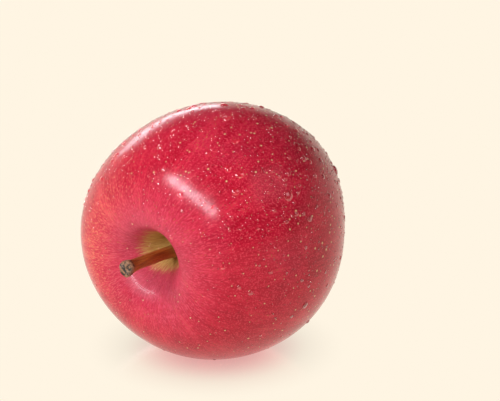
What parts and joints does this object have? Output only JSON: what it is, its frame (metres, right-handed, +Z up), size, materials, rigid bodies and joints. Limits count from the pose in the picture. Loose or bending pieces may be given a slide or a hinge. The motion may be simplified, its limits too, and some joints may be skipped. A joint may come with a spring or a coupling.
{
  "type": "red apple",
  "caption": "Whole red apple as picked, with its woody stem and a dried calyx, lying on its side on a small flat spot.",
  "frame": {"origin": "on the table, in the small flat spot that the fruit rests on, straight below the middle of the fruit's core", "axes": "+Z up. The core lies level along Y, with the stem end facing -Y and the calyx facing +Y. +X is to the right seen from the stem end."},
  "size_m": [0.0821, 0.0768, 0.077],
  "materials": {
    "skin": "waxy red apple skin, satin to glossy, streaked, with pale lenticels",
    "stem_wood": "brown woody stem, slightly glossy, darker broken knob",
    "dried_sepal": "dry papery sepal, matte",
    "dried_stamen": "dry dark threads, matte"
  },
  "bodies": {
    "root": {"fruit": "skin", "stem": "stem_wood", "sepal_1": "dried_sepal", "sepal_2": "dried_sepal", "sepal_3": "dried_sepal", "sepal_4": "dried_sepal", "sepal_5": "dried_sepal", "stamen_tuft": "dried_stamen"}
  },
  "joints": []
}
